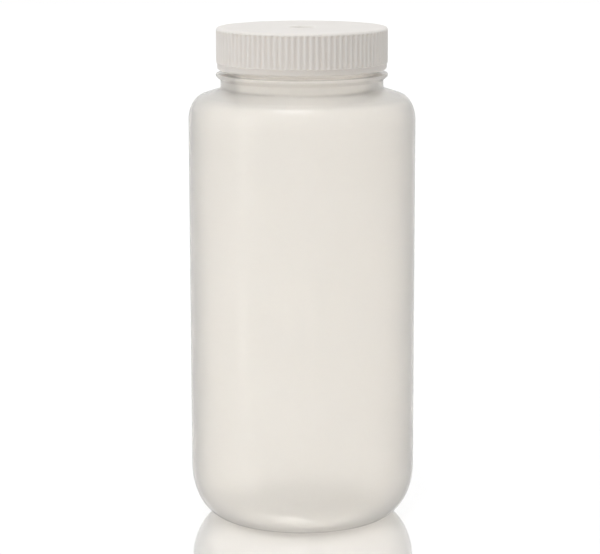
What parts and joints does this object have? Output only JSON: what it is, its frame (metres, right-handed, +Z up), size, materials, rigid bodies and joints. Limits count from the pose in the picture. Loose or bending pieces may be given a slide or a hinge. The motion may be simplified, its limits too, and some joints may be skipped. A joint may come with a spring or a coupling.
{
  "type": "reagent bottle",
  "caption": "Round wide-mouth plastic laboratory bottle with a sloping shoulder, a beaded neck and a ribbed screw cap that seals on a foam liner.",
  "frame": {"origin": "centre of the flat ring that the bottle stands on", "axes": "+Z up along the bottle's axis towards the cap"},
  "size_m": [0.091, 0.091, 0.1993],
  "materials": {
    "natural_polypropylene": "milky translucent natural polypropylene, satin moulded surface",
    "white_polypropylene": "white injection-moulded polypropylene, satin",
    "polyethylene_foam": "white foamed polyethylene sheet, matt with fine closed cells"
  },
  "bodies": {
    "bottle": {"bottle": "natural_polypropylene"},
    "liner": {"seal_liner": "polyethylene_foam"},
    "cap": {"screw_cap": "white_polypropylene"}
  },
  "joints": [
    {"name": "cap_lift", "type": "slide", "parent": "bottle", "child": "liner", "axis": [0, 0, 1], "range_m": [0, 0.01694]},
    {"name": "cap_turn", "type": "hinge", "parent": "liner", "child": "cap", "pos_m": [0, 0, 0.1895], "axis": [0, 0, 1], "range_deg": [0, 1440]}
  ],
  "couplings": [
    {"joint": "cap_lift", "follows": "cap_turn", "m_per_rad": 0.00067375}
  ]
}
